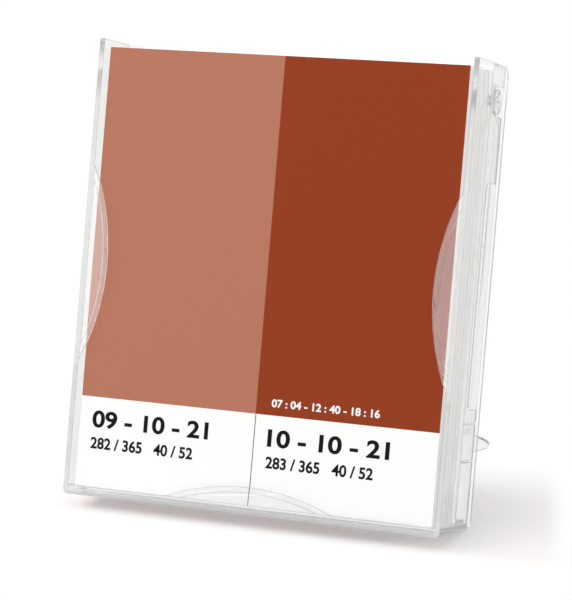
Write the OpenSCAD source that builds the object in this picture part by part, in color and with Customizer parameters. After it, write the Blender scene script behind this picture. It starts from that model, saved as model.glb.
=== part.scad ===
// Page-a-day calendar: loose sheets in a clear moulded case that leans back on a fold-out leg.
// Case frame: x to the right, y backwards from the face of the front sheet, z up along the case wall.
// The finished part stands on z = 0, leaning back, with its front towards -y.

/* [Sheets] */
// Width of a sheet
page_w = 152.4; // [120:0.1:180]
// Height of a sheet
page_h = 177.8; // [140:0.1:220]
// Thickness of one sheet
sheet_t = 0.06; // [0.05:0.01:0.12]
// Air in front of and behind a loose single sheet
leaf_gap = 0.1; // [0.05:0.01:0.3]
// Thickness of the title card
title_card_t = 0.3; // [0.2:0.05:0.6]
// Thickness of the backing card
backing_card_t = 0.8; // [0.4:0.1:1.5]
// How far the bundles are knocked out of line sideways
jog = 0.5; // [0:0.1:1]

/* [Front tray] */
// Wall thickness of the side walls
wall_t = 2; // [1.4:0.1:3]
// Thickness of the bottom wall
floor_t = 3.5; // [2:0.1:5]
// Play between a sheet and each side wall
side_play = 2; // [1.2:0.1:4]
// Play between a sheet and the bottom wall
foot_play = 0.1; // [0.05:0.05:0.5]
// Height of the side walls above the sheets
head_room = 3.1; // [0:0.1:10]
// Depth of the side walls behind the front of the rear panel
skirt = 12.6; // [12.4:0.1:18]
// Radius of the lower outer corners
corner_r = 2; // [0.5:0.1:4]
// Width of the flat that the case stands on, along its lower back edge
rest_land = 2.5; // [1:0.1:5]

/* [Half-moon tabs] */
// Radius of a tab's arc
tab_r = 91; // [60:0.5:120]
// Reach of a tab from the outside of its wall
tab_reach = 10.9; // [8:0.1:14]
// Thickness of the front layer of a tab
tab_front_t = 0.8; // [0.5:0.1:1.5]
// Thickness of the inner layer of a tab
tab_inner_t = 0.7; // [0.4:0.1:1.5]
// Width of the thin border along the arc
tab_border = 2.3; // [0.5:0.1:4]
// Gap between a tab and the front sheet
tab_gap = 0.5; // [0.2:0.1:1.5]

/* [Thumb cut-outs and latches] */
// Height of the lower end of a thumb cut-out
thumb_z = 48.7; // [46:0.1:60]
// Length of a thumb cut-out along the wall
thumb_len = 89.2; // [60:0.1:100]
// Reach of a thumb cut-out in front of the wall's back edge
thumb_deep = 11.6; // [6:0.1:14]
// Radius of the inner corners of cut-outs
cut_r = 3; // [1:0.1:5]
// Height of the lower slot of a latch tongue
latch_z = 28.1; // [15:0.1:30]
// Height of a latch tongue between its slots
latch_h = 14; // [13:0.1:16]
// Length of a latch tongue
latch_len = 13.5; // [8:0.1:15]
// Width of the slots beside a latch tongue
slot_w = 0.8; // [0.5:0.1:1.5]
// Height that latch bumps and detent ribs stand proud
snap_h = 0.25; // [0.1:0.05:0.28]

/* [Rear tray] */
// Play between the rear tray's flanges and the side walls
nest_play = 0.6; // [0.6:0.1:1.2]
// Thickness of the flanges
flange_t = 1.6; // [1.4:0.1:2.5]
// Thickness of the panel behind the stack
panel_t = 1.8; // [1.2:0.1:3]
// Play between the stack and the panel
stack_play = 0.3; // [0.1:0.1:1]
// Depth of the rear rim behind the side walls
rim_deep = 5; // [4:0.1:8]
// Gap between the side walls and the rear rim
rim_gap = 0.2; // [0.1:0.1:0.5]
// Radius of the upper back corners of the rim
rim_r = 4.5; // [1:0.1:4.9]
// Play between the rear tray and the bottom wall
seat_play = 0.1; // [0.05:0.05:0.5]
// Number of detent ribs on each side
rib_count = 3; // [2:1:3]
// Spacing of the detent ribs
rib_pitch = 3.7; // [2.5:0.1:4]
// Length of a detent rib
rib_len = 2.7; // [2:0.1:4]
// Distance of the detent ribs below the upper slot of the latch tongue
rib_down = 1.4; // [0.5:0.1:3]
// Radius of a detent rib and of a latch bump
rib_r = 0.8; // [0.5:0.05:0.8]

/* [Leg pivot] */
// Distance of the pivot below the top of the case
pivot_down = 14.5; // [13:0.1:25]
// Radius of the trunnion pins
pin_r = 2; // [1.5:0.1:2.5]
// Radial play of the pins in their bores
pin_play = 0.05; // [0.02:0.01:0.1]
// Radius of the bosses round the bores
boss_r = 5; // [4:0.1:5.2]
// Play between the bosses and their notches in the side walls
notch_play = 0.85; // [0.4:0.05:1.2]
// Radius of the leg's hubs
hub_r = 4.5; // [3.5:0.1:5]
// Play between the hubs and the panel
hub_play = 0.9; // [0.5:0.1:2]

/* [Easel leg] */
// Opening angle of the leg
leg_open = 20; // [14:0.5:25]
// Distance of the leg's front face behind the pivot
leg_offset = 6; // [5:0.1:8]
// Thickness of the leg's web
web_t = 1.8; // [1.2:0.1:2.5]
// Depth of the leg's rim
leg_rim_t = 4; // [3:0.1:5]
// Width of the leg's rim
leg_rim_w = 3; // [2:0.1:6]
// Half the width of the foot
foot_half = 58; // [40:0.5:65]
// Radius of the leg's corners
leg_r = 5; // [3.5:0.1:8]
// Length of the parallel head below the pivot
head_len = 20; // [12:0.5:40]
// Play between the leg and the flanges
leg_play = 0.4; // [0.3:0.1:1]
// Thickness of the leg's cheeks
cheek_t = 2; // [1.5:0.1:3]
// Height of the heel that stops the leg
heel_h = 7; // [4:0.1:8]
// Gap between the heel and the panel when the leg is open
heel_gap = 0.1; // [0.05:0.05:0.3]
// Distance of the finger tabs above the foot
ear_up = 20; // [14:0.5:40]
// Reach of the finger tabs from the middle of the leg
ear_half = 71; // [66:0.5:74]
// Width of a finger tab at its root
ear_w = 7.8; // [6:0.1:12]

/* [Stance] */
// Angle that the case leans back
lean = 13; // [8:0.5:14]

/* [Hidden] */

// Sheets in each bundle from front to back. A weekend shares one sheet, so a month has 24 to 27.
// The front and next sheets of October stand alone, and its used sheets lie at the back.
COMING = [["pages_october", 17], ["pages_november", 26], ["pages_december", 27]];
USED = [["pages_january", 26], ["pages_february", 24], ["pages_march", 27], ["pages_april", 26],
    ["pages_may", 26], ["pages_june", 26], ["pages_july", 27], ["pages_august", 26],
    ["pages_september", 26], ["pages_october_past", 7]];
function sheets(list, count) = count == 0 ? 0 : list[count - 1][1] + sheets(list, count - 1);

CLEAR = [0.86, 0.9, 0.92, 0.45];
PAPER = [0.97, 0.96, 0.94];
TERRACOTTA = [0.6, 0.28, 0.18];
CARD = [0.72, 0.66, 0.56];
$fn = 64;
arc_steps = 24;
fillet_steps = 10;
// Overlap that lets cutters pass cleanly through faces
eps = 0.5;
// Golden angle, which spreads the sideways jog without repeating
jog_turn = 137.5;

// Places across the width
wall_in = page_w / 2 + side_play;
wall_out = wall_in + wall_t;
flange_out = wall_in - nest_play;
flange_in = flange_out - flange_t;
boss_out = wall_out - leg_play;
cheek_out = flange_in - leg_play;
cheek_in = cheek_out - cheek_t;

// Places through the depth
tab_back = -tab_gap;
front = tab_back - tab_front_t - tab_inner_t;
stack_front = 2 * (sheet_t + leaf_gap);
title_front = stack_front + sheets(COMING, len(COMING)) * sheet_t;
used_front = title_front + title_card_t;
backing_front = used_front + sheets(USED, len(USED)) * sheet_t;
panel_front = backing_front + backing_card_t + stack_play;
panel_back = panel_front + panel_t;
wall_back = panel_front + skirt;
rim_front = wall_back + rim_gap;
rim_back = rim_front + rim_deep;
pivot_y = panel_back + hub_r + hub_play;
leg_back = leg_offset + leg_rim_t;

// Places up the height
page_z = floor_t + foot_play;
case_h = page_z + page_h + head_room;
seat_z = floor_t + seat_play;
pivot_z = case_h - pivot_down;
latch_top = latch_z + slot_w + latch_h;
rib_z = latch_top - rib_down - rib_len;
rib_y = panel_back + rib_r + eps;
side_tab_z = (floor_t + case_h) / 2;
notch_r = boss_r + notch_play;

// Stance: the case turns about its lower back edge until it leans, and the edge is cut flat there
land_rise = rest_land * sin(lean) * cos(lean);
rim_low = (rim_back - wall_back) * tan(lean) + land_rise / cos(lean) + seat_play;
splay = leg_open - lean;
pivot_aft = pivot_y - wall_back;
function foot_reach(q) =
    (pivot_z * cos(lean) - pivot_aft * sin(lean) + q * sin(splay) - land_rise) / cos(splay);
function foot_place(q) =
    pivot_aft * cos(lean) + pivot_z * sin(lean) + foot_reach(q) * sin(splay) + q * cos(splay);
leg_len = foot_reach(leg_back) + eps;
front_place = (front - wall_back) * cos(lean);
mid_place = (front_place + foot_place(leg_back)) / 2;

// Outline helpers
function unit(v) = v / norm(v);
function turn(u, v) = u.x * v.y - u.y * v.x > 0 ? -1 : 1;
function fillet(a, p, b, r) =
    let (u = unit(a - p), v = unit(b - p), half = acos(u * v) / 2)
    let (centre = p + unit(u + v) * r / sin(half), start = p + u * r / tan(half) - centre)
    let (from = atan2(start.y, start.x), sweep = turn(u, v) * (180 - 2 * half))
    [for (i = [0:fillet_steps]) centre + r * [cos(from + sweep * i / fillet_steps),
        sin(from + sweep * i / fillet_steps)]];
function rounded(points, r) = let (n = len(points))
    [for (i = [0:n - 1]) each fillet(points[(i + n - 1) % n], points[i], points[(i + 1) % n], r)];
function half_oval(half, reach) =
    [for (i = [0:arc_steps]) [half * cos(180 * i / arc_steps), reach * sin(180 * i / arc_steps)]];

// Extrudes a (y, z) outline along x
module across(x0, x1) {
    translate([x0, 0, 0]) rotate([90, 0, 90]) linear_extrude(x1 - x0) children();
}

// Extrudes an (x, z) outline along y
module through(y0, y1) {
    translate([0, y1, 0]) rotate([90, 0, 0]) linear_extrude(y1 - y0) children();
}

module both_sides() {
    children();
    mirror([1, 0, 0]) children();
}

// Stands a piece of the case on the table
module stand() {
    translate([0, -mid_place, -land_rise])
        rotate([-lean, 0, 0])
            translate([0, -wall_back, 0])
                children();
}

// Everything below the table top
module below_table() {
    translate([-case_h, -case_h, -case_h]) cube([2 * case_h, 2 * case_h, case_h]);
}

// Cut that is open to the back and round at its front corners
module open_cut(y0, y1, z0, z1, r) {
    translate([y0 + r, z0]) square([y1 - y0 - r, z1 - z0]);
    translate([y0, z0 + r]) square([r, z1 - z0 - 2 * r]);
    for (z = [z0 + r, z1 - r]) translate([y0 + r, z]) circle(r);
}

// U-shaped section of the front tray, open at the top
module tray_section() {
    difference() {
        union() {
            translate([-wall_out, corner_r]) square([2 * wall_out, case_h - corner_r]);
            translate([-wall_out + corner_r, 0]) square([2 * (wall_out - corner_r), corner_r]);
            for (x = [-1, 1]) translate([x * (wall_out - corner_r), corner_r]) circle(corner_r);
        }
        translate([-wall_in, floor_t]) square([2 * wall_in, case_h]);
    }
}

// Part of a disc that rises above its chord
module disc_segment(r, reach) {
    intersection() {
        translate([0, reach - r]) circle(r);
        translate([-r, 0]) square([2 * r, reach + eps]);
    }
}

// Two-layer half-moon that rises from the outside of its wall
module tab() {
    through(front, front + tab_front_t) disc_segment(tab_r, tab_reach);
    through(front, tab_back) disc_segment(tab_r - tab_border, tab_reach - tab_border);
}

module tab_set() {
    tab();
    both_sides() translate([-wall_out, 0, side_tab_z]) rotate([0, 90, 0]) tab();
}

// What is cut from one side wall: thumb cut-out, pivot notch and the slots of the latch tongue
module wall_cuts() {
    across(wall_in - eps, wall_out + eps) {
        open_cut(wall_back - thumb_deep, wall_back + eps, thumb_z, thumb_z + thumb_len, cut_r);
        open_cut(pivot_y - notch_r, wall_back + eps, pivot_z - notch_r, pivot_z + notch_r, cut_r);
        for (z = [latch_z, latch_top])
            translate([wall_back - latch_len, z]) square([latch_len + eps, slot_w]);
    }
}

// Bump inside a latch tongue, which sits between the last two detent ribs
module latch_bump() {
    translate([wall_in + rib_r - snap_h, rib_y + rib_pitch * (rib_count - 1.5), rib_z])
        cylinder(r = rib_r, h = rib_len);
}

module front_tray() {
    color(CLEAR) difference() {
        stand() {
            difference() {
                union() {
                    through(front, wall_back) tray_section();
                    tab_set();
                }
                both_sides() wall_cuts();
            }
            both_sides() latch_bump();
        }
        below_table();
    }
}

// Rim outline behind a side wall, round at its upper back corner
module rim_outline() {
    intersection() {
        translate([rim_front, rim_low]) square([rim_deep, case_h - rim_low]);
        union() {
            translate([rim_front, rim_low]) square([rim_deep, case_h - rim_r - rim_low]);
            translate([rim_front, rim_low]) square([rim_deep - rim_r, case_h - rim_low]);
            translate([rim_back - rim_r, case_h - rim_r]) circle(rim_r);
        }
    }
}

// Flange, rim, boss and ribs on one side of the rear tray
module rear_side() {
    difference() {
        union() {
            translate([flange_in, panel_front, seat_z])
                cube([flange_t, rim_front + flange_t - panel_front, case_h - seat_z]);
            across(flange_in, wall_out) rim_outline();
            translate([flange_out - eps, pivot_y, pivot_z]) rotate([0, 90, 0])
                cylinder(r = boss_r, h = boss_out - flange_out + eps);
            for (i = [0:rib_count - 1])
                translate([flange_out + snap_h - rib_r, rib_y + i * rib_pitch, rib_z])
                    cylinder(r = rib_r, h = rib_len);
        }
        translate([flange_in - eps, rim_front + flange_t, -eps])
            cube([wall_out - wall_t - flange_in + eps, rim_deep, case_h + 2 * eps]);
        translate([flange_in - eps, pivot_y, pivot_z]) rotate([0, 90, 0])
            cylinder(r = pin_r + pin_play, h = wall_out);
    }
}

module rear_tray() {
    color(CLEAR) stand() {
        translate([-flange_out, panel_front, seat_z]) cube([2 * flange_out, panel_t, case_h - seat_z]);
        both_sides() rear_side();
        for (z = [seat_z, case_h - flange_t])
            translate([-flange_out, panel_front, z]) cube([2 * flange_out, skirt, flange_t]);
    }
}

// Outline of the leg: parallel head, then a taper to the foot
module leg_outline(inset, r) {
    half = cheek_out - inset;
    foot = foot_half - inset;
    polygon(rounded([[-half, hub_r - inset], [-half, -head_len], [-foot, inset - leg_len],
        [foot, inset - leg_len], [half, -head_len], [half, hub_r - inset]], r));
}

// Half-oval finger tab on the edge of the leg
module ear_outline() {
    translate([foot_half, ear_up - leg_len]) rotate(-90) polygon(half_oval(ear_w / 2, ear_half - foot_half));
}

// Hub, gusset and heel at one end of the pivot
module cheek_outline() {
    circle(hub_r);
    polygon([[0, hub_r], [leg_offset + web_t, hub_r], [leg_offset + web_t, -head_len], [0, -hub_r]]);
    rotate(-leg_open)
        polygon([[0, 0], [heel_gap - hub_r - hub_play, hub_r / 2], [heel_gap - hub_r - hub_play, heel_h],
            [0, heel_h]]);
}

module easel_leg() {
    color(CLEAR) difference() {
        stand() translate([0, pivot_y, pivot_z]) rotate([leg_open, 0, 0]) {
            difference() {
                through(leg_offset, leg_back) leg_outline(0, leg_r);
                through(leg_offset + web_t, leg_back + eps) leg_outline(leg_rim_w, leg_r - leg_rim_w);
            }
            both_sides() {
                across(cheek_in, cheek_out) cheek_outline();
                translate([cheek_in, 0, 0]) rotate([0, 90, 0]) cylinder(r = pin_r, h = boss_out - cheek_in);
                through(leg_offset, leg_offset + web_t) ear_outline();
            }
        }
        below_table();
    }
}

// One sheet or bundle of sheets, from depth y, knocked sideways by dx
module leaves(y, t, dx) {
    stand() translate([dx - page_w / 2, y, page_z]) cube([page_w, t, page_h]);
}

module front_page() {
    color(TERRACOTTA) leaves(0, sheet_t, 0);
}

module next_page() {
    color(PAPER) leaves(sheet_t + leaf_gap, sheet_t, 0);
}

module bundle(list, i, y) {
    color(PAPER) leaves(y + sheets(list, i) * sheet_t, list[i][1] * sheet_t, jog * sin(jog_turn * i));
}

module title_card() {
    color(CARD) leaves(title_front, title_card_t, 0);
}

module backing_card() {
    color(CARD) leaves(backing_front, backing_card_t, 0);
}

front_tray();
rear_tray();
easel_leg();
front_page();
next_page();
for (i = [0:len(COMING) - 1])
    bundle(COMING, i, stack_front);
title_card();
for (i = [0:len(USED) - 1])
    bundle(USED, i, used_front);
backing_card();
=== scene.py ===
"""Looks of a page-a-day calendar: loose sheets in a clear moulded case that leans on its open leg."""
import math
import random

import bmesh
import bpy
from mathutils import Matrix, Vector


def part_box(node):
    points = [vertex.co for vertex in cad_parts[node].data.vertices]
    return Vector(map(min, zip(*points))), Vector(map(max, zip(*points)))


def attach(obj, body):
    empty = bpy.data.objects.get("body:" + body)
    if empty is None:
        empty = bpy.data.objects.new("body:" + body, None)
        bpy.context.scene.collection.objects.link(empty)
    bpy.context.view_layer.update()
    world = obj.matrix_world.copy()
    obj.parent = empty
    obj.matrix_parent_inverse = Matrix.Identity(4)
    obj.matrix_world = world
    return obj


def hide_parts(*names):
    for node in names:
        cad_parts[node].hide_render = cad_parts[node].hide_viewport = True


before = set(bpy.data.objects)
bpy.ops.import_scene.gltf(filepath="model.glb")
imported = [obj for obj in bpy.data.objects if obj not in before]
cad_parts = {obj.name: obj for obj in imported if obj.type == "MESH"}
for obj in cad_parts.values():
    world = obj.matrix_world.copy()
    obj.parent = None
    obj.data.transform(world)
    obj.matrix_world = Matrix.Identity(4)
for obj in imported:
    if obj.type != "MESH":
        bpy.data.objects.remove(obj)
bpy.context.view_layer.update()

MM = 0.001


# Front tray
# One injection moulding in clear polystyrene: two side walls, a bottom wall and three half-moon
# tabs that hold the sheets in. Its edges come from the mould slightly rounded.

LEAN = math.radians(13)      # the whole case leans back by this much
UP = Vector((0, math.sin(LEAN), math.cos(LEAN)))
FRONT = Vector((0, -math.cos(LEAN), math.sin(LEAN)))
WALL_INSIDE = 77.9 * MM      # the side walls lie beyond this distance from the middle
STYRENE_IOR = 1.59
FLOW_RIPPLE = 11 * MM        # width of the faint waves that the melt leaves as it fills the mould
FLOW_DEPTH = 0.2 * MM
RUB_MARK = 1.6 * MM          # spacing of fine rub marks; real ones are finer, and would not show
CLEAN_GLOSS = 0.025          # roughness of untouched faces
RUBBED_GLOSS = 0.07          # roughness inside the rub marks
EDGE_SATIN = 0.36            # extra roughness of the front and top edges, which the mould leaves satin
RIM_BAND = 0.55 * MM         # strip along each edge whose base colour is painted grey: painted shade for how a rounded edge bends light away from the eye
GREY_RIM, CLEAR_FACE = 0.75, 0.99  # how well a rounded normal agrees with the flat one there
SMOKE_TINT = "#BFBEBC"
SMOKINESS = 2.5              # absorption per metre of plastic
EDGE_ROUND = 0.1 * MM
SHARP_EDGE = math.radians(40)
WELD_GAP = 0.002 * MM


def linear(hex_colour):
    """sRGB hex to the linear RGBA that shader sockets take."""
    parts = [int(hex_colour[i:i + 2], 16) / 255 for i in (1, 3, 5)]
    return (*[p / 12.92 if p <= 0.04045 else ((p + 0.055) / 1.055) ** 2.4 for p in parts], 1)


def add(tree, kind, inputs, **settings):
    """Adds a node, applies its settings, and fills or links its inputs."""
    made = tree.nodes.new(kind)
    for key, value in settings.items():
        setattr(made, key, value)
    for key, value in inputs.items():
        if isinstance(value, bpy.types.NodeSocket):
            tree.links.new(value, made.inputs[key])
        else:
            made.inputs[key].default_value = value
    return made


def new_material(name):
    """An empty material and its node tree."""
    made = bpy.data.materials.new(name)
    made.use_nodes = True
    made.node_tree.nodes.clear()
    return made, made.node_tree


def faces(tree, way):
    """1 on surfaces that look along a direction, otherwise 0."""
    look = add(tree, "ShaderNodeTexCoord", {}).outputs["Normal"]
    along = add(tree, "ShaderNodeVectorMath", {0: look, 1: way}, operation="DOT_PRODUCT").outputs["Value"]
    return add(tree, "ShaderNodeMath", {0: along, 1: 0.9}, operation="GREATER_THAN").outputs["Value"]


def clear_polystyrene(name, skin, painted_rim_shade):
    """Moulded polystyrene: glass-clear with sharp gloss, seen by its edges painted grey as shade, with faint
    flow waves.
    """
    made, tree = new_material(name)
    where = add(tree, "ShaderNodeTexCoord", {}).outputs["Object"]
    wave = add(tree, "ShaderNodeTexNoise", {"Vector": where, "Scale": 1 / FLOW_RIPPLE, "Detail": 1.0})
    bump = add(tree, "ShaderNodeBump", {"Height": wave.outputs["Fac"], "Strength": 0.012,
               "Distance": FLOW_DEPTH})

    rubs = add(tree, "ShaderNodeTexNoise", {"Vector": where, "Scale": 1 / RUB_MARK, "Detail": 3.0})
    gloss = add(tree, "ShaderNodeMapRange", {"Value": rubs.outputs["Fac"], "From Min": 0.35,
                "From Max": 0.75, "To Min": CLEAN_GLOSS, "To Max": RUBBED_GLOSS})
    across = add(tree, "ShaderNodeSeparateXYZ", {"Vector": where}).outputs["X"]
    across = add(tree, "ShaderNodeMath", {0: across}, operation="ABSOLUTE").outputs["Value"]
    on_wall = add(tree, "ShaderNodeMath", {0: across, 1: WALL_INSIDE}, operation="GREATER_THAN")
    front = add(tree, "ShaderNodeMath", {0: faces(tree, FRONT), 1: on_wall.outputs["Value"]},
                operation="MULTIPLY")
    edge = add(tree, "ShaderNodeMath", {0: front.outputs["Value"], 1: faces(tree, UP)}, operation="MAXIMUM")
    finish = add(tree, "ShaderNodeMath", {0: edge.outputs["Value"], 1: EDGE_SATIN,
                 2: gloss.outputs["Result"]}, operation="MULTIPLY_ADD")

    # Painted shade: the base colour turns grey in a band along each rounded edge, standing in for the dark
    # that a real edge bends into view.
    flat = add(tree, "ShaderNodeNewGeometry", {}).outputs["True Normal"]
    rounded = add(tree, "ShaderNodeBevel", {"Radius": RIM_BAND}, samples=6).outputs["Normal"]
    alike = add(tree, "ShaderNodeVectorMath", {0: flat, 1: rounded}, operation="DOT_PRODUCT")
    rim = add(tree, "ShaderNodeMapRange", {"Value": alike.outputs["Value"], "From Min": GREY_RIM,
              "From Max": CLEAR_FACE, "To Min": 1.0, "To Max": 0.0})
    colour = add(tree, "ShaderNodeMix", {"Factor": rim.outputs["Result"], "A": linear(skin),
                 "B": linear(painted_rim_shade)}, data_type="RGBA")

    body = add(tree, "ShaderNodeBsdfPrincipled", {"Base Color": colour.outputs["Result"],
               "IOR": STYRENE_IOR, "Transmission Weight": 1.0, "Roughness": finish.outputs["Value"],
               "Normal": bump.outputs["Normal"]})
    smoke = add(tree, "ShaderNodeVolumeAbsorption", {"Color": linear(SMOKE_TINT), "Density": SMOKINESS})
    add(tree, "ShaderNodeOutputMaterial", {"Surface": body.outputs["BSDF"],
        "Volume": smoke.outputs["Volume"]})
    return made


def cover(node, material):
    """Gives a piece of the frame its one material."""
    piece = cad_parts[node]
    piece.data.materials.clear()
    piece.data.materials.append(material)
    return piece


def mould(node, plastic):
    """A clear moulding: its faces are welded, its edges rounded, and it lets the lamps' light through."""
    piece = cover(node, plastic)
    weld = piece.modifiers.new("joined_faces", "WELD")
    weld.merge_threshold = WELD_GAP
    soft = piece.modifiers.new("mould_radius", "BEVEL")
    soft.width = EDGE_ROUND
    soft.segments = 2
    soft.limit_method = "ANGLE"
    soft.angle_limit = SHARP_EDGE
    piece.visible_shadow = False


# The second colour is the painted grey shade along the moulding's edges.
styrene = clear_polystyrene("clear_polystyrene_moulded", "#F3F3F2", "#8A8A88")
mould("front_tray", styrene)


# Rear tray
# A second, clearer polystyrene moulding that slides into the back of the first and backs the stack.
# Its flanges carry the bores for the leg's pins and three fine detent ribs on each side.

# Its edges get a lighter painted grey shade.
thin_styrene = clear_polystyrene("clear_polystyrene_thin_moulding", "#FDFDFC", "#B8B8B6")
mould("rear_tray", thin_styrene)


# Easel leg
# A clear polystyrene plate moulded with a stiffening rim and two half-oval finger tabs. It is
# snapped into the rear tray by the two trunnion pins moulded on its head.

mould("easel_leg", styrene)


# Cards
# A title card between the coming and the used sheets, and a stiffer backing card behind them all.
# Both are plain pulp board, die-cut to the size of the sheets.

FIBRE = 0.7 * MM             # length of a pulp fleck; drawn coarse enough to show
FIBRE_DEPTH = 0.03 * MM
BOARD_ROUGHNESS = 0.85
PULP_IOR = 1.5               # of pulp fibre, here and in the paper


def pulp_board(name, tint, fleck):
    """Pulp board: dull and slightly mottled, with scattered darker fibres."""
    made, tree = new_material(name)
    where = add(tree, "ShaderNodeTexCoord", {}).outputs["Object"]
    pulp = add(tree, "ShaderNodeTexNoise", {"Vector": where, "Scale": 1 / FIBRE, "Detail": 4.0})
    mottle = add(tree, "ShaderNodeMapRange", {"Value": pulp.outputs["Fac"], "From Min": 0.3,
                 "From Max": 0.7})
    tone = add(tree, "ShaderNodeMix", {"Factor": mottle.outputs["Result"], "A": linear(fleck),
               "B": linear(tint)}, data_type="RGBA")
    bump = add(tree, "ShaderNodeBump", {"Height": pulp.outputs["Fac"], "Strength": 0.2,
               "Distance": FIBRE_DEPTH})
    body = add(tree, "ShaderNodeBsdfPrincipled", {"Base Color": tone.outputs["Result"],
               "Roughness": BOARD_ROUGHNESS, "IOR": PULP_IOR, "Normal": bump.outputs["Normal"]})
    add(tree, "ShaderNodeOutputMaterial", {"Surface": body.outputs["BSDF"]})
    return made


cover("backing_card", pulp_board("pulp_board_grey", "#B9B2A6", "#A1998C"))
cover("title_card", pulp_board("pulp_board_white_lined", "#EFEDE8", "#E2DFD9"))


# Bundles of sheets
# Loose sheets of matt coated paper, a month to a bundle. They were cut in one stack, then
# knocked together by hand, so their edges lie about a tenth of a millimetre out of line.

SHEET_W = 152.4 * MM
SHEET_H = 177.8 * MM
SHEET_T = 0.06 * MM
SHEET_AIR = 0.008 * MM       # air between two sheets
JOG = 0.12 * MM              # how far a sheet lies out of line
TOOTH = 0.35 * MM            # grain of the coating; drawn coarse enough to show
TOOTH_DEPTH = 0.02 * MM
EDGE_BAND = 0.45 * MM        # width of the streaks of shade on a stack's edge
EDGE_RUN = 60 * MM           # length of those streaks
PAPER_ROUGHNESS = 0.6
STACKS = {"pages_october": 17, "pages_november": 26, "pages_december": 27, "pages_january": 26,
          "pages_february": 24, "pages_march": 27, "pages_april": 26, "pages_may": 26,
          "pages_june": 26, "pages_july": 27, "pages_august": 26, "pages_september": 26,
          "pages_october_past": 7}


def coated_paper(name, tint, shade):
    """Matt coated paper: a soft even white, with a fine tooth and streaks along a stack's edge."""
    made, tree = new_material(name)
    where = add(tree, "ShaderNodeTexCoord", {}).outputs["Object"]
    upright = add(tree, "ShaderNodeVectorRotate", {"Vector": where, "Angle": LEAN}, rotation_type="X_AXIS")
    stretched = add(tree, "ShaderNodeVectorMath", {0: upright.outputs["Vector"],
                    1: (1 / EDGE_RUN, 1 / EDGE_BAND, 1 / EDGE_RUN)}, operation="MULTIPLY")
    streak = add(tree, "ShaderNodeTexNoise", {"Vector": stretched.outputs["Vector"], "Scale": 1.0,
                 "Detail": 2.0})
    tone = add(tree, "ShaderNodeMix", {"Factor": streak.outputs["Fac"], "A": linear(shade),
               "B": linear(tint)}, data_type="RGBA")
    tooth = add(tree, "ShaderNodeTexNoise", {"Vector": where, "Scale": 1 / TOOTH, "Detail": 3.0})
    bump = add(tree, "ShaderNodeBump", {"Height": tooth.outputs["Fac"], "Strength": 0.12,
               "Distance": TOOTH_DEPTH})
    body = add(tree, "ShaderNodeBsdfPrincipled", {"Base Color": tone.outputs["Result"],
               "Roughness": PAPER_ROUGHNESS, "IOR": PULP_IOR, "Normal": bump.outputs["Normal"]})
    add(tree, "ShaderNodeOutputMaterial", {"Surface": body.outputs["BSDF"]})
    return made


def sheet_corner(node, thickness):
    """Frame at the lower left front corner of a node's sheets: x right, y inwards, z up the sheet."""
    low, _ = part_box(node)
    corner = Vector((low.x, low.y, low.z + thickness * math.sin(LEAN)))
    return Matrix.Translation(corner) @ Matrix.Rotation(-LEAN, 4, "X")


def lay_sheet(shape, place, x, y, z):
    """One sheet as a thin slab, from its lower left front corner."""
    size = (SHEET_W, SHEET_T - SHEET_AIR, SHEET_H)
    middle = Matrix.Translation(Vector((x, y, z)) + Vector(size) / 2)
    bmesh.ops.create_cube(shape, size=1, matrix=place @ middle @ Matrix.Diagonal((*size, 1)))


def new_piece(name, mesh_maker, body, slot, *materials):
    """A piece made in mesh code, which rides on a body of the frame."""
    made = bpy.data.objects.new(name, bpy.data.meshes.new(name))
    bpy.context.collection.objects.link(made)
    mesh_maker.to_mesh(made.data)
    mesh_maker.free()
    for m in materials:
        made.data.materials.append(m)
    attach(made, body)
    return made


stack_paper = coated_paper("coated_paper_cut_edges", "#FBFAF8", "#F2F1EE")
hand = random.Random(313)
for node, count in STACKS.items():
    corner = sheet_corner(node, count * SHEET_T)
    bundle = bmesh.new()
    for i in range(count):
        lay_sheet(bundle, corner, hand.uniform(-JOG, JOG), i * SHEET_T + SHEET_AIR / 2, hand.uniform(0, JOG))
    piece = new_piece(node.replace("pages", "sheets"), bundle, "page_stack", "sheet_paper", stack_paper)
    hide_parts(node)


# Next sheet
# The loose sheet of matt coated paper that comes to the front when the one in use is drawn out.
# Only its edges show, between the front sheet and the bundles.

next_sheet = bmesh.new()
lay_sheet(next_sheet, sheet_corner("next_page", SHEET_T), 0, 0, 0)
piece = new_piece("next_sheet", next_sheet, "next_page", "sheet_paper", stack_paper)
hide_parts("next_page")


# Front sheet
# The sheet in use: matt coated paper printed to its edges with two flat terracotta fields over a
# white strip, and a thin black rule that carries their parting line down through the strip.

STRIP_H = 36.4 * MM
RULE_W = 0.34 * MM
INK_MOTTLE = 0.5 * MM        # uneven take-up of the ink; drawn coarse enough to show
INK_DEPTH = 0.02 * MM
INK_ROUGHNESS = 0.6
INK_SHEEN = 0.06             # offset ink sinks into matt paper and keeps little gloss


def printed_ink(name, tint, light):
    """Flat offset ink on matt paper: an even colour with a faint mottle and a soft low gloss."""
    made, tree = new_material(name)
    where = add(tree, "ShaderNodeTexCoord", {}).outputs["Object"]
    mottle = add(tree, "ShaderNodeTexNoise", {"Vector": where, "Scale": 1 / INK_MOTTLE, "Detail": 3.0})
    tone = add(tree, "ShaderNodeMix", {"Factor": mottle.outputs["Fac"], "A": linear(tint),
               "B": linear(light)}, data_type="RGBA")
    bump = add(tree, "ShaderNodeBump", {"Height": mottle.outputs["Fac"], "Strength": 0.08,
               "Distance": INK_DEPTH})
    body = add(tree, "ShaderNodeBsdfPrincipled", {"Base Color": tone.outputs["Result"],
               "Roughness": INK_ROUGHNESS, "Specular IOR Level": INK_SHEEN,
               "Normal": bump.outputs["Normal"]})
    add(tree, "ShaderNodeOutputMaterial", {"Surface": body.outputs["BSDF"]})
    return made


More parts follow.
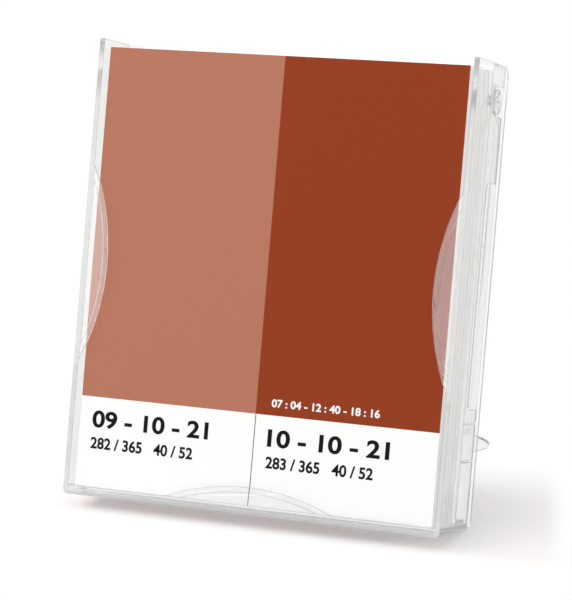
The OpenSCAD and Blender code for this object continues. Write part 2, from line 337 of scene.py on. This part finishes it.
page_white = printed_ink("coated_paper_page", "#FAFAF9", "#FDFDFC")
pale_field = printed_ink("offset_ink_pale_terracotta", "#B4745E", "#B87862")
deep_field = printed_ink("offset_ink_deep_terracotta", "#903B1E", "#943F22")
black_ink = printed_ink("offset_ink_black", "#161213", "#1C1819")
PAGE_INKS = (page_white, pale_field, deep_field, black_ink)
PAGE_WHITE, PALE, DEEP, BLACK = range(4)

# Columns and rows of points on the sheet, then the ink of the field at each column and row.
columns = (0, SHEET_W / 2 - RULE_W / 2, SHEET_W / 2 + RULE_W / 2, SHEET_W)
rows = (0, STRIP_H, SHEET_H)
fields = {(0, 0): PAGE_WHITE, (1, 0): BLACK, (2, 0): PAGE_WHITE,
          (0, 1): PALE, (1, 1): DEEP, (2, 1): DEEP}
page = bmesh.new()
corner = sheet_corner("front_page", SHEET_T)
front_points = [[page.verts.new(corner @ Vector((x, 0, z))) for x in columns] for z in rows]
back_points = [[page.verts.new(corner @ Vector((x, SHEET_T, z))) for x in columns] for z in rows]
for (i, j), ink in fields.items():
    p, q = front_points, back_points
    page.faces.new((p[j][i], p[j][i + 1], p[j + 1][i + 1], p[j + 1][i])).material_index = ink
    page.faces.new((q[j][i], q[j + 1][i], q[j + 1][i + 1], q[j][i + 1])).material_index = PAGE_WHITE
loop = [(0, 0), (1, 0), (2, 0), (3, 0), (3, 1), (3, 2), (2, 2), (1, 2), (0, 2), (0, 1)]
for (a, b), (c, d) in zip(loop, loop[1:] + loop[:1]):
    page.faces.new((front_points[d][c], front_points[b][a], back_points[b][a], back_points[d][c]))
bmesh.ops.recalc_face_normals(page, faces=page.faces)
front_sheet = new_piece("front_sheet", page, "front_page", "printed_sheet", *PAGE_INKS)
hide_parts("front_page")


# Numerals on the front sheet
# Plain bold numbers in black ink at the foot of each half: a date over its day and week counts.
# A small line of clock times is reversed out of the deep field, so the white paper shows through.

INK_FILM = 0.01 * MM
STROKE_SWELL = 0.016         # fattens the strokes to bold, as a share of the letter size
STROKE_BEVEL = 0.014
# Each line's text, its place from the left and the bottom of the sheet, its height and width in mm, its ink.
LINES = (("09 - 10 - 21", 5.5, 23.9, 7.1, 51, black_ink),
         ("282 / 365   40 / 52", 5.5, 15.4, 4.8, 45, black_ink),
         ("10 - 10 - 21", 81.9, 23.9, 7.1, 51, black_ink),
         ("283 / 365   40 / 52", 81.9, 15.4, 4.8, 45, black_ink),
         ("07 : 04 - 12 : 40 - 18 : 16", 82.5, 39.6, 3.3, 45.2, page_white))

for i, (figures, x, z, height, width, ink) in enumerate(LINES):
    letters = bpy.data.curves.new(f"figures_{i}", "FONT")
    letters.body = figures
    letters.size = 1
    letters.offset = STROKE_SWELL
    letters.bevel_depth = STROKE_BEVEL
    letters.bevel_resolution = 0
    letters.extrude = 0.001
    shape = bpy.data.objects.new(letters.name, letters)
    bpy.context.collection.objects.link(shape)
    bpy.context.view_layer.update()
    outline = bpy.data.meshes.new_from_object(shape.evaluated_get(bpy.context.evaluated_depsgraph_get()))
    bpy.data.objects.remove(shape)
    low = Vector(map(min, *[v.co for v in outline.vertices]))
    high = Vector(map(max, *[v.co for v in outline.vertices]))
    size = high - low
    film = bmesh.new()
    film.from_mesh(outline)
    scale = Matrix.Diagonal((width * MM / size.x, height * MM / size.y, 2 * INK_FILM / size.z, 1))
    flat = scale @ Matrix.Translation((-low.x, -low.y, -(low.z + high.z) / 2))
    stand = corner @ Matrix.Translation((x * MM, 0, z * MM)) @ Matrix.Rotation(math.pi / 2, 4, "X")
    bmesh.ops.transform(film, matrix=stand @ flat, verts=film.verts)
    new_piece(f"numerals_{i}", film, "front_page", "printed_sheet", ink)


# Floor, light and camera
# A sweep of white paper under three soft boxes, with the key light from the upper left front.
# It glows white on its own, and keeps its paper shade only where the object's shadow falls.

CLEAR_WHITE = "#FFFFFF"
AMBIENT = 0.77               # level of the white studio as a light
SHADOW = 0.82                # share of the paper's own shade where the object's shadow falls
SHADOW_THROUGH = 0.04        # the same as seen through the clear plastic, which reads lighter
# The shadow fades to white along these directions on the floor, from one distance to another, in metres.
SHADOW_EDGES = (((1, 0.29, 0), 0.106, 0.119), ((-1, 0, 0), 0.074, 0.09),
                ((0, 1, 0), 0.03, 0.09), ((0, -1, 0), 0.036, 0.05))
FLOOR_SHADE = "#F3F0EF"
WARM_SHADE = "#F3E5E3"       # under the front edge, where the printed sheet's red light falls
WARM_AHEAD = (-0.012, -0.03)  # the warm shade grows between these distances along y
WARM_INSIDE = (0.075, 0.035)  # and between these along x


def seen_directly(tree):
    """1 where the eye meets a surface straight on, in a gloss or through clear plastic, otherwise 0."""
    path = add(tree, "ShaderNodeLightPath", {})
    seen = add(tree, "ShaderNodeMath", {0: path.outputs["Is Camera Ray"], 1: path.outputs["Is Glossy Ray"]},
               operation="MAXIMUM")
    seen = add(tree, "ShaderNodeMath", {0: seen.outputs["Value"], 1: path.outputs["Is Transmission Ray"]},
               operation="MAXIMUM")
    return seen.outputs["Value"]


# Sweep paper: even and matt, white in full light, warmed a little by the print in front of the case.
sweep_paper, tree = new_material("sweep_paper_white")
where = add(tree, "ShaderNodeTexCoord", {}).outputs["Object"]
path = add(tree, "ShaderNodeLightPath", {})
share = add(tree, "ShaderNodeMapRange", {"Value": path.outputs["Is Transmission Ray"], "To Min": SHADOW,
            "To Max": SHADOW_THROUGH}).outputs["Result"]
for way, start, end in SHADOW_EDGES:
    out = add(tree, "ShaderNodeVectorMath", {0: where, 1: way}, operation="DOT_PRODUCT")
    side = add(tree, "ShaderNodeMapRange", {"Value": out.outputs["Value"], "From Min": start, "From Max": end,
               "To Min": 1.0, "To Max": 0.0}, interpolation_type="SMOOTHSTEP")
    share = add(tree, "ShaderNodeMath", {0: share, 1: side.outputs["Result"]},
                operation="MULTIPLY").outputs["Value"]
spot = add(tree, "ShaderNodeSeparateXYZ", {"Vector": where}).outputs
ahead = add(tree, "ShaderNodeMapRange", {"Value": spot["Y"], "From Min": WARM_AHEAD[0],
            "From Max": WARM_AHEAD[1]})
inside = add(tree, "ShaderNodeMapRange", {"Value": spot["X"], "From Min": WARM_INSIDE[0],
             "From Max": WARM_INSIDE[1]})
warm = add(tree, "ShaderNodeMath", {0: ahead.outputs["Result"], 1: inside.outputs["Result"]},
           operation="MULTIPLY")
shade = add(tree, "ShaderNodeMix", {"Factor": warm.outputs["Value"], "A": linear(FLOOR_SHADE),
            "B": linear(WARM_SHADE)}, data_type="RGBA")
dull = add(tree, "ShaderNodeBsdfDiffuse", {"Color": shade.outputs["Result"]})
level = add(tree, "ShaderNodeMapRange", {"Value": seen_directly(tree), "To Min": AMBIENT, "To Max": 1.0})
glow = add(tree, "ShaderNodeEmission", {"Color": linear(CLEAR_WHITE), "Strength": level.outputs["Result"]})
both = add(tree, "ShaderNodeMixShader", {0: share, 1: glow.outputs["Emission"], 2: dull.outputs["BSDF"]})
add(tree, "ShaderNodeOutputMaterial", {"Surface": both.outputs["Shader"]})

sweep = bmesh.new()
bmesh.ops.create_grid(sweep, x_segments=1, y_segments=1, size=4)
floor = bpy.data.objects.new("floor", bpy.data.meshes.new("floor"))
bpy.context.collection.objects.link(floor)
sweep.to_mesh(floor.data)
sweep.free()
floor.location.z = -0.05 * MM
floor.data.materials.append(sweep_paper)

world = bpy.data.worlds.new("white_studio")
world.use_nodes = True
world.node_tree.nodes.clear()
tree = world.node_tree
level = add(tree, "ShaderNodeMapRange", {"Value": seen_directly(tree), "To Min": AMBIENT, "To Max": 1.0})
sky = add(tree, "ShaderNodeBackground", {"Color": linear(CLEAR_WHITE), "Strength": level.outputs["Result"]})
add(tree, "ShaderNodeOutputWorld", {"Surface": sky.outputs["Background"]})
bpy.context.scene.world = world


def soft_box(name, place, aim, side, power):
    """A square soft box: its place and aim and the length of its side in metres, its power in watts."""
    lamp = bpy.data.lights.new(name, "AREA")
    lamp.shape = "SQUARE"
    lamp.size = side
    lamp.energy = power
    made = bpy.data.objects.new(name, lamp)
    bpy.context.collection.objects.link(made)
    made.location = place
    made.rotation_mode = "QUATERNION"
    made.rotation_quaternion = (Vector(aim) - Vector(place)).to_track_quat("-Z", "Y")


soft_box("key_light", (-0.60, -1.40, 0.76), (0, 0, 0.09), 1.0, 5.7)
soft_box("top_light", (-0.45, -0.15, 1.35), (0, 0, 0), 0.9, 6.0)
soft_box("fill_light", (1.2, 0.3, 0.5), (0, 0, 0.08), 0.7, 4.0)

# The camera stands where the four corners of the front sheet put it.
CAMERA_PLACE = (0.37045, -0.93030, 0.31168)
VIEW_ALONG = Vector((-0.36275, 0.90509, -0.22187))
camera = bpy.data.objects.new("camera", bpy.data.cameras.new("camera"))
bpy.context.collection.objects.link(camera)
camera.data.sensor_width = 36
camera.data.lens = 152.39
camera.location = CAMERA_PLACE
camera.rotation_mode = "QUATERNION"
camera.rotation_quaternion = VIEW_ALONG.to_track_quat("-Z", "Y")
bpy.context.scene.camera = camera
bpy.context.scene.view_settings.view_transform = "Standard"

# Clear walls lie up to a dozen faces deep, and light has to get through them all.
light_paths = bpy.context.scene.cycles
light_paths.max_bounces = 32
light_paths.glossy_bounces = 24
light_paths.transmission_bounces = 32
